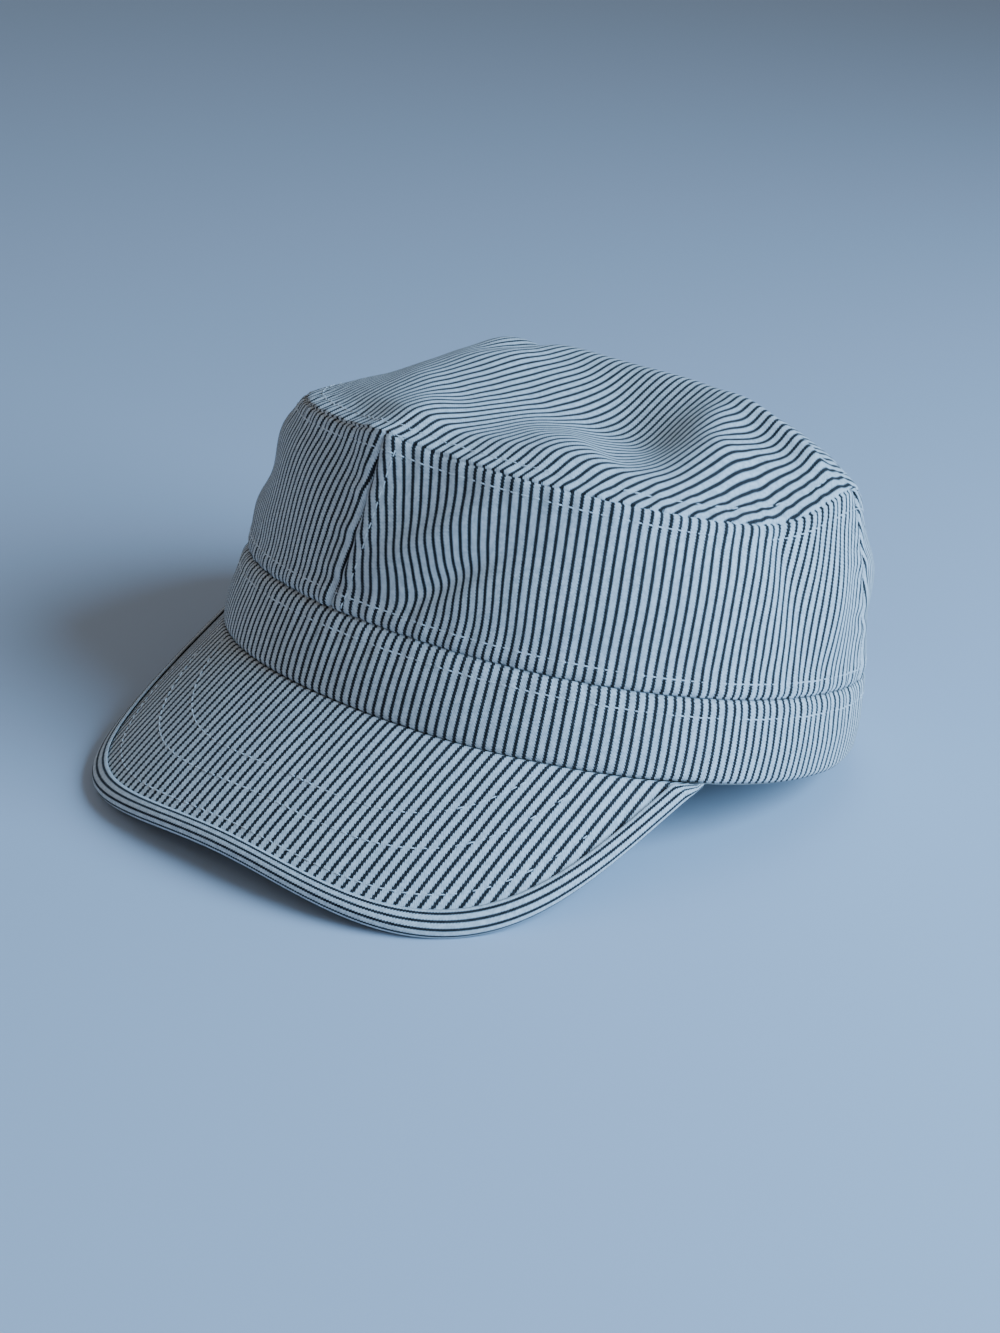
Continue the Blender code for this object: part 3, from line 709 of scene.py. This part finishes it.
def grain_run(side, angle, share):
    """Run across the stripes: the arc from the panel's middle stripe, at one height."""
    middle = radians(GRAIN[side])
    total = np.zeros_like(angle)
    for index in range(GRAIN_STEPS):
        part = middle + (angle - middle) * (index + 0.5) / GRAIN_STEPS
        total = total + wall_reach(part, share) / GRAIN_STEPS
    return total * (angle - middle)


def fine_tip(column, row):
    """Visible face of the tip, from the tip seam at row 0 to the middle at row 1."""
    angle = radians(FRONT_SEAM[1]) + column * 2 * pi
    share = 1 - row
    seam = wall(angle, np.ones_like(angle))
    reach = np.hypot(seam[..., 0], seam[..., 1])
    from_seam = (1 - share) * reach
    points = tip(angle, share)
    run = angle * RIM_SIDE
    height = TIP_EDGE_DIP * dip(from_seam) + pucker(run, from_seam, PUCKER_SEEDS["tip"])
    fade = np.clip(from_seam / RIPPLE_START, 0, 1)
    height = height + ripple(points[..., 0], points[..., 1], "tip") * fade
    points[..., 2] += height
    stretch = STRIPE_PITCH / TIP_PITCH
    return points, points[..., 0] * stretch - TIP_PHASE * stretch, points[..., 1]


def fine_band(column, row):
    """Closed section of the band, with a rolled lower edge and a groove at its seam."""
    angle = radians(FRONT_SEAM[0]) + column * 2 * pi
    turn = row % 1.0
    outside = turn < BAND_OUTSIDE
    share = np.where(outside, np.clip(turn / BAND_OUTSIDE, 0, 1), 0)
    from_top = (1 - share) * BAND_HEIGHT
    from_rim = share * BAND_HEIGHT
    run = angle * RIM_SIDE
    height = dip(from_top) + pucker(run, from_top, PUCKER_SEEDS["band"])
    height = height - HEM_ROLL * np.exp(-(from_rim / HEM_ROLL_WIDTH) ** 2)
    fade = np.clip(from_top / RIPPLE_NEAR_START, 0, 1)
    height = height + ripple(run, from_top, "band") * fade
    outer = band_reach(angle, share) + height
    low = rim_height(angle)
    top = BAND_HEIGHT - GAP / 2
    inside = np.clip((turn - BAND_OUTSIDE) / (1 - BAND_OUTSIDE), 0, 1)
    wrap = band_reach(angle, 1 - inside) - BAND_WALL
    reach = np.where(outside, outer, np.minimum(wrap, band_reach(angle, 0 * inside) - BAND_WALL))
    level = np.where(outside, low + (top - low) * share, top + (low - top) * inside)
    points = pressed(at_reach(angle, reach, level), LEAN, FLOOR)
    return points, arc_from_front(angle), np.where(outside, from_rim, BAND_TURN)


def arc_from_front(angle):
    """Arc length round the band's middle from the centre front."""
    steps = np.linspace(-pi * 1.2, pi * 2.2, ARC_STEPS)
    total = run_along(at_reach(steps, band_reach(steps, np.full_like(steps, 0.5)), 0 * steps))
    return np.interp(angle, steps, total) - np.interp(0, steps, total)


def peak_run(x):
    """Arc length across the bent peak, square to the lines along which it is straight."""
    steps = np.linspace(-RIM_SIDE * PEAK_RUN_MOST, RIM_SIDE * PEAK_RUN_MOST, EDGE_STEPS)
    bend = np.gradient(rim_ahead(steps), steps) * PEAK_SLOPE
    lengths = np.diff(steps) * np.sqrt(1 + bend[1:] ** 2 / (1 + PEAK_SLOPE**2))
    total = np.concatenate([[0], np.cumsum(lengths)])
    return np.interp(x, steps, total) - np.interp(0, steps, total)


def fine_peak(column, row):
    """Visible top of the peak, from under its binding to under the band."""
    inward = np.clip(row / PEAK_COVERED, 0, 1)
    tuck = BAND_WALL * np.clip((row - PEAK_COVERED) / (1 - PEAK_COVERED), 0, 1)
    end = peak_end(PEAK_COVER_INSET, PEAK_COVER_INSET)
    x, y = peak_spot(column, PEAK_COVER_INSET, end, inward, tuck)
    points = peak_surface(x, y)
    fade = np.clip(inward / PEAK_RIPPLE_START, 0, 1)
    fade = fade * np.clip((1 - inward) / PEAK_RIPPLE_START, 0, 1)
    points[..., 2] += ripple(x, y, "peak") * fade + PEAK_CLOSE * peak_tuck(np.arctan2(x, -y))
    return points, peak_run(x) + PEAK_PHASE, y


def peak_stitches(inset):
    """Path of a row of stitches on the peak at a distance from its edge, with the normals there."""
    shares = np.linspace(0, 1, EDGE_PATH_STEPS)
    turn = edge_turn(shares, inset, peak_end(inset, PEAK_COVER_INSET))
    return peak_surface(*peak_outline(turn, inset)), peak_normal(turn, inset)


def binding_section(turn, sweep):
    """Inset and height of the binding's fine section: legs and round nose outside, then inside."""
    outside = sweep < BINDING_OUTSIDE
    around_nose = np.clip(sweep / BINDING_OUTSIDE, 0, 1)
    width = np.maximum(binding_width(turn), BINDING_LEAST)
    half = binding_thickness() / 2
    nose = np.minimum(half * BINDING_NOSE, width * BINDING_NOSE)
    on_top = np.clip(around_nose / BINDING_LEG, 0, 1)
    bend = np.clip((around_nose - BINDING_LEG) / (1 - 2 * BINDING_LEG), 0, 1) * pi
    on_bottom = np.clip((around_nose - 1 + BINDING_LEG) / BINDING_LEG, 0, 1)
    outer_inset = nose + (width - nose) * (1 - on_top + on_bottom) - nose * np.sin(bend)
    from_end = np.minimum(around_nose, 1 - around_nose) * BINDING_WRAP
    edge_roll = BINDING_ROLL * np.exp(-(from_end / BINDING_ROLL_WIDTH) ** 2)
    outer_height = half * np.cos(bend) - np.sign(np.cos(bend)) * edge_roll
    inner = np.clip((sweep - BINDING_OUTSIDE) / (1 - BINDING_OUTSIDE), 0, 1)
    inner_inset = BINDING_WALL + (width - BINDING_WALL) * np.abs(1 - 2 * inner)
    inner_height = (half - BINDING_WALL) * np.clip((inner - 0.5) * BINDING_INNER_TURN, -1, 1)
    inset = np.where(outside, outer_inset, inner_inset)
    return inset, np.where(outside, outer_height, inner_height) - PEAK_BOARD / 2


def binding_run(sweep):
    """Arc length round the binding's section, measured near the front."""
    steps = np.linspace(0, BINDING_OUTSIDE, BINDING_RUN_STEPS)
    turn = np.full_like(steps, BINDING_RUN_TURN)
    inset, offset = binding_section(turn, steps)
    points = peak_surface(*peak_outline(turn, inset))
    points = points + peak_normal(turn, BINDING_WALL) * offset[:, None]
    return np.interp(sweep, steps, run_along(points))


def fine_binding(column, row):
    """Closed section of the binding with a round nose, swept round the peak's edge."""
    turn = edge_turn(column, 0.0, peak_end(0.0, GAP))
    sweep = row % 1.0
    inset, offset = binding_section(turn, sweep)
    x, y = peak_outline(turn, inset)
    points = peak_surface(x, y) + peak_normal(turn, BINDING_WALL) * offset[..., None]
    points[..., 2] += PEAK_CLOSE * peak_tuck(np.arctan2(x, -y))
    across = binding_run(sweep) * BINDING_STRIPES + BINDING_PHASE
    across = np.where(sweep < BINDING_OUTSIDE, across, STRIPE_PITCH / 1000)
    return pressed(points, LEAN, FLOOR), across, column * EDGE_LENGTH


def fine_sweatband(column, row):
    """Closed section of the sweatband."""
    corner = np.round(row * TAPE_ROWS) / TAPE_ROWS
    points = section_place(sweatband_section, SWEATBAND_PROFILE)(column, corner)
    return pressed(points, LEAN, FLOOR + GAP), column * TAPE_LENGTH, row * TAPE_WRAP


def lean_matrix():
    """The cap's place in the frame: leant back, on the ground and over the origin."""
    edge = pressed(binding_place(*grid_shares(BINDING_COLUMNS, len(BINDING_LOOP))), LEAN, FLOOR)
    front = (edge[..., 1] * cos(LEAN) + edge[..., 2] * sin(LEAN)).min()
    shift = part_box("peak_binding")[0][1] - front
    return Matrix.Translation((0, shift, -FLOOR)) @ Matrix.Rotation(-LEAN, 4, "X")


def new_object(name, data):
    made = bpy.data.objects.new(name, data)
    bpy.context.scene.collection.objects.link(made)
    return made


def cloth_piece(name, node, grid, place, material, thickness=0.0, cap_ends=False):
    """A visible piece on a fine grid, with the run across and along its stripes in a UV map."""
    shape = bmesh.new()
    bmesh.ops.create_grid(shape, x_segments=grid[0], y_segments=grid[1], size=0.5)
    shares = np.array([vert.co[:2] for vert in shape.verts]) + 0.5
    points, across, along = place(shares[:, 0], shares[:, 1])
    uv_map = shape.loops.layers.uv.new("cloth")
    for face in shape.faces:
        for loop in face.loops:
            index = loop.vert.index
            loop[uv_map].uv = (across[index] * 1000, along[index] * 1000)
    for vert, point in zip(shape.verts, points):
        vert.co = point
    bmesh.ops.remove_doubles(shape, verts=shape.verts, dist=MERGE)
    if cap_ends:
        ends = [edge for edge in shape.edges if edge.is_boundary]
        bmesh.ops.holes_fill(shape, edges=ends, sides=0)
    if not any(edge.is_boundary for edge in shape.edges):
        bmesh.ops.recalc_face_normals(shape, faces=shape.faces)
    shape.transform(PLACE)
    mesh = bpy.data.meshes.new(name)
    shape.to_mesh(mesh)
    shape.free()
    mesh.shade_smooth()
    mesh.materials.append(material)
    made = new_object(name, mesh)
    if thickness:
        solidify = made.modifiers.new("cloth", "SOLIDIFY")
        solidify.thickness = thickness
        solidify.offset = -1
    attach(made, "root")
    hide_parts(node)


def along_path(spots, lengths, values):
    """Values with three coordinates, read at spots along a path."""
    return np.stack([np.interp(spots, lengths, values[:, axis]) for axis in range(3)], axis=-1)


def stitch_row(name, paths, material):
    """Topstitching: each stitch is a short arched length of thread along a path of points."""
    thread = bpy.data.curves.new(name, "CURVE")
    thread.dimensions = "3D"
    thread.bevel_depth = THREAD_RADIUS
    thread.bevel_resolution = 1
    thread.use_fill_caps = True
    for path, normals in paths:
        lengths = run_along(path)
        for index in range(int(lengths[-1] / STITCH_PITCH)):
            spots = index * STITCH_PITCH + STITCH_LENGTH * np.linspace(0, 1, len(STITCH_ARCH))
            arch = THREAD_RADIUS * np.array(STITCH_ARCH)
            places = along_path(spots, lengths, path)
            places = places + along_path(spots, lengths, normals) * arch[:, None]
            spline = thread.splines.new("POLY")
            spline.points.add(len(STITCH_ARCH) - 1)
            for point, spot in zip(spline.points, places):
                point.co = (*(PLACE @ Vector(spot)), 1.0)
    thread.materials.append(material)
    made = new_object(name, thread)
    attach(made, "root")


def path_with_normals(place, columns, rows):
    """Points of a place function along a line of columns and rows, and the normals there."""
    step = 0.0005
    points = place(columns, rows)[0]
    right, left = np.clip(columns + step, 0, 1), np.clip(columns - step, 0, 1)
    above, below = np.clip(rows + step, 0, 1), np.clip(rows - step, 0, 1)
    sideways = place(right, rows)[0] - place(left, rows)[0]
    upwards = place(columns, above)[0] - place(columns, below)[0]
    normals = np.cross(sideways, upwards)
    normals /= np.maximum(np.linalg.norm(normals, axis=-1, keepdims=True), 1e-12)
    return points, normals


class Nodes:
    """Short names for the nodes of one material."""

    def __init__(self, material):
        self.tree = material.node_tree

    def add(self, kind, **values):
        node = self.tree.nodes.new(kind)
        for key, value in values.items():
            setattr(node, key, value)
        return node

    def link(self, source, target):
        self.tree.links.new(source, target)

    def set_input(self, socket, value):
        if isinstance(value, bpy.types.NodeSocket):
            self.link(value, socket)
        else:
            socket.default_value = value

    def math(self, operation, *inputs):
        node = self.add("ShaderNodeMath", operation=operation)
        for socket, value in zip(node.inputs, inputs):
            self.set_input(socket, value)
        return node.outputs[0]

    def ramp(self, value, low, high):
        """0 below low, 1 above high, smooth between."""
        node = self.add("ShaderNodeMapRange", interpolation_type="SMOOTHSTEP")
        self.set_input(node.inputs["Value"], value)
        node.inputs["From Min"].default_value = low
        node.inputs["From Max"].default_value = high
        return node.outputs["Result"]

    def mix(self, share, first, second):
        node = self.add("ShaderNodeMix", data_type="RGBA")
        for index, value in zip(MIX_SOCKETS, (share, first, second)):
            self.set_input(node.inputs[index], value)
        return node.outputs[MIX_RESULT]

    def noise(self, scale, detail, coordinates):
        node = self.add("ShaderNodeTexNoise")
        node.inputs["Scale"].default_value = scale
        node.inputs["Detail"].default_value = detail
        self.link(coordinates, node.inputs["Vector"])
        return node.outputs["Fac"]

    def relief(self, height, strength, distance, shader):
        """Small relief on a shader, by the distance in metres."""
        node = self.add("ShaderNodeBump")
        node.inputs["Strength"].default_value = strength
        node.inputs["Distance"].default_value = distance
        self.link(height, node.inputs["Height"])
        self.link(node.outputs["Normal"], shader.inputs["Normal"])


def new_material(name, roughness, sheen):
    material = bpy.data.materials.new(name)
    material.use_nodes = True
    shader = material.node_tree.nodes["Principled BSDF"]
    shader.inputs["Roughness"].default_value = roughness
    shader.inputs["Sheen Weight"].default_value = sheen
    shader.inputs["Sheen Roughness"].default_value = 0.5
    shader.inputs["Specular IOR Level"].default_value = 0.25
    return material, Nodes(material), shader


def stripe_mask(nodes, across, along, place):
    """1 on a dark stripe and 0 beside it; the stripe's edges step with the weave."""
    unsteady = nodes.math("SUBTRACT", nodes.noise(WANDER_SCALE, 2.0, place), 0.5)
    wander = nodes.math("MULTIPLY", unsteady, STRIPE_WANDER)
    step = nodes.math("FRACT", nodes.math("DIVIDE", along, TWILL_STEP))
    lean = nodes.math("MULTIPLY", nodes.math("SUBTRACT", step, 0.5), TWILL_LEAN)
    shifted = nodes.math("ADD", nodes.math("ADD", across, lean), wander)
    turns = nodes.math("ADD", nodes.math("DIVIDE", shifted, STRIPE_PITCH), 0.5)
    off_middle = nodes.math("ABSOLUTE", nodes.math("SUBTRACT", nodes.math("FRACT", turns), 0.5))
    off_line = nodes.math("MULTIPLY", off_middle, STRIPE_PITCH)
    beside = nodes.ramp(off_line, STRIPE_HALF - STRIPE_BLUR, STRIPE_HALF + STRIPE_BLUR)
    return nodes.math("SUBTRACT", 1.0, beside)


def twill_ridges(nodes, across, along):
    """Waves of the twill's diagonal ridges, and of the single threads across them."""
    diagonal = nodes.math("ADD", nodes.math("MULTIPLY", across, 2 * pi / TWILL_PITCH),
                          nodes.math("MULTIPLY", along, 2 * pi / TWILL_STEP))
    threads = nodes.math("SINE", nodes.math("MULTIPLY", along, 2 * pi / WEFT_PITCH))
    return nodes.math("SINE", diagonal), threads


def striped_cloth(name):
    """Off-white twill with narrow dark stripes."""
    material, nodes, shader = new_material(name, 0.88, 0.10)
    uv = nodes.add("ShaderNodeUVMap", uv_map="cloth")
    split = nodes.add("ShaderNodeSeparateXYZ")
    nodes.link(uv.outputs["UV"], split.inputs[0])
    across, along = split.outputs[0], split.outputs[1]
    place = nodes.add("ShaderNodeTexCoord").outputs["Object"]
    stripe = stripe_mask(nodes, across, along, place)
    twill, threads = twill_ridges(nodes, across, along)
    fleck = nodes.noise(FLECK_SCALE, 3.0, place)
    cloud = nodes.noise(CLOUD_SCALE, 4.0, place)

    pale_fleck = nodes.math("ADD", fleck, nodes.math("MULTIPLY", twill, 0.10))
    pale = nodes.mix(nodes.ramp(pale_fleck, 0.62, 0.36), WHITE_YARN, GREY_YARN)
    worn = nodes.math("MULTIPLY", nodes.ramp(cloud, 0.55, 0.35), 0.25)
    pale = nodes.mix(worn, pale, GREY_YARN)
    dark_fleck = nodes.math("ADD", fleck, nodes.math("MULTIPLY", twill, 0.12))
    dark = nodes.mix(nodes.ramp(dark_fleck, 0.45, 0.75), DARK_YARN, DARK_YARN_WORN)
    nodes.link(nodes.mix(stripe, pale, dark), shader.inputs["Base Color"])

    weave = nodes.math("ADD", nodes.math("MULTIPLY", twill, 0.35),
                       nodes.math("MULTIPLY", threads, 0.15))
    relief = nodes.math("ADD", weave, nodes.math("MULTIPLY", fleck, 0.6))
    relief = nodes.math("SUBTRACT", relief, nodes.math("MULTIPLY", stripe, 0.3))
    nodes.relief(relief, 0.35, 0.00012, shader)
    return material


def plain_cloth(name, colours, scale):
    """Plain cotton tape or thread with a fine weave."""
    material, nodes, shader = new_material(name, 0.85, 0.2)
    place = nodes.add("ShaderNodeTexCoord").outputs["Object"]
    fleck = nodes.noise(scale, 3.0, place)
    nodes.link(nodes.mix(nodes.ramp(fleck, 0.35, 0.65), *colours), shader.inputs["Base Color"])
    nodes.relief(fleck, 0.4, 0.0001, shader)
    return material


LEAN, FLOOR = rest()
PLACE = lean_matrix()

crown_cloth = striped_cloth("crown_cloth")
band_cloth = striped_cloth("band_cloth")
peak_cloth = striped_cloth("peak_cloth")
binding_cloth = striped_cloth("binding_cloth")
tape = plain_cloth("sweatband_tape", TAPE_COLOURS, TAPE_SCALE)
thread = plain_cloth("white_thread", THREAD_COLOURS, THREAD_SCALE)

for side, columns in WALL_COLUMNS.items():
    cloth_piece(side + "_wall", side + "_panel", (columns, WALL_ROWS_FINE), fine_panel(side),
                crown_cloth, thickness=CROWN_WALL)
cloth_piece("tip_cloth", "crown_tip", (TIP_COLUMNS_FINE, TIP_ROWS_FINE), fine_tip, crown_cloth,
            thickness=CROWN_WALL)
cloth_piece("band_strip", "band", (BAND_COLUMNS_FINE, BAND_ROWS_FINE), fine_band, band_cloth)
cloth_piece("inner_tape", "sweatband", (TAPE_COLUMNS, TAPE_ROWS), fine_sweatband, tape)
cloth_piece("peak_cover", "peak", (PEAK_COLUMNS_FINE, PEAK_ROWS_FINE), fine_peak, peak_cloth,
            thickness=PEAK_BOARD)
cloth_piece("bound_edge", "peak_binding", (BINDING_COLUMNS_FINE, BINDING_ROWS_FINE), fine_binding,
            binding_cloth, cap_ends=True)

steps = np.linspace(0, 1, PATH_STEPS)
row_share = STITCH_INSET / CROWN_HEIGHT
for label, row in (("band_side_stitches", row_share), ("tip_side_stitches", 1 - row_share)):
    level = np.full_like(steps, row)
    rows = [path_with_normals(fine_panel(side), steps, level) for side in WALL_COLUMNS]
    stitch_row(label, rows, thread)
front_start, front_length = FRONT_STITCH_ENDS
front_column = np.full_like(steps, FRONT_STITCH_COLUMN)
front_row = path_with_normals(fine_panel("left"), front_column, front_start + front_length * steps)
stitch_row("front_seam_stitches", [front_row], thread)
ring = np.linspace(0, 1, RING_PATH_STEPS)
tip_row = path_with_normals(fine_tip, ring, np.full(RING_PATH_STEPS, STITCH_INSET / TIP_REACH))
stitch_row("tip_stitches", [tip_row], thread)
band_level = BAND_OUTSIDE * (1 - STITCH_INSET / BAND_HEIGHT)
band_row = path_with_normals(fine_band, ring, np.full(RING_PATH_STEPS, band_level))
stitch_row("band_stitches", [band_row], thread)
peak_rows = [peak_stitches(inset) for inset in PEAK_STITCH_INSETS]
stitch_row("peak_stitches", peak_rows, thread)


def add_camera():
    azimuth = radians(CAMERA_AZIMUTH)
    elevation = radians(CAMERA_ELEVATION)
    roll = radians(CAMERA_ROLL)
    back = Vector((sin(azimuth) * cos(elevation), -cos(azimuth) * cos(elevation), sin(elevation)))
    level = Vector((cos(azimuth), sin(azimuth), 0))
    upward = back.cross(level)
    right = level * cos(roll) + upward * sin(roll)
    up = upward * cos(roll) - level * sin(roll)
    scale = CAMERA_DISTANCE / FOCAL_PIXELS
    place = Vector((0, 0, AIM_HEIGHT)) + back * CAMERA_DISTANCE
    place -= right * ((AIM_PIXEL[0] - PHOTO_MIDDLE[0]) * scale)
    place += up * ((AIM_PIXEL[1] - PHOTO_MIDDLE[1]) * scale)
    camera_data = bpy.data.cameras.new("camera")
    camera_data.sensor_fit = "VERTICAL"
    camera_data.sensor_height = SENSOR
    camera_data.lens = FOCAL_PIXELS * SENSOR / PHOTO_HEIGHT
    camera_data.clip_start = NEAREST
    camera = new_object("camera", camera_data)
    axes = Matrix((right, up, back)).transposed().to_4x4()
    upright = PLACE @ Matrix.Rotation(PHOTO_LEAN, 4, "X")
    camera.matrix_world = upright @ Matrix.Translation(place) @ axes
    bpy.context.scene.camera = camera


def add_light(name, place, size, power, colour):
    data = bpy.data.lights.new(name, "AREA")
    data.shape = "DISK"
    data.size = size
    data.energy = power
    data.color = colour
    light = new_object(name, data)
    light.location = place
    aim = Vector(LIGHT_AIM) - Vector(place)
    light.rotation_euler = aim.to_track_quat("-Z", "Y").to_euler()


def add_floor():
    floor_mesh = bpy.data.meshes.new("floor")
    shape = bmesh.new()
    bmesh.ops.create_grid(shape, x_segments=2, y_segments=2, size=FLOOR_HALF)
    shape.to_mesh(floor_mesh)
    shape.free()
    floor = new_object("floor", floor_mesh)
    material = bpy.data.materials.new("pale_floor")
    material.use_nodes = True
    shader = material.node_tree.nodes["Principled BSDF"]
    shader.inputs["Base Color"].default_value = FLOOR_COLOUR
    shader.inputs["Roughness"].default_value = 0.9
    floor_mesh.materials.append(material)


def add_world():
    world = bpy.data.worlds.new("studio")
    world.use_nodes = True
    background = world.node_tree.nodes["Background"]
    background.inputs["Color"].default_value = SKY_COLOUR
    background.inputs["Strength"].default_value = SKY_STRENGTH
    bpy.context.scene.world = world


add_camera()
add_floor()
add_world()
for light in LIGHTS:
    add_light(*light)
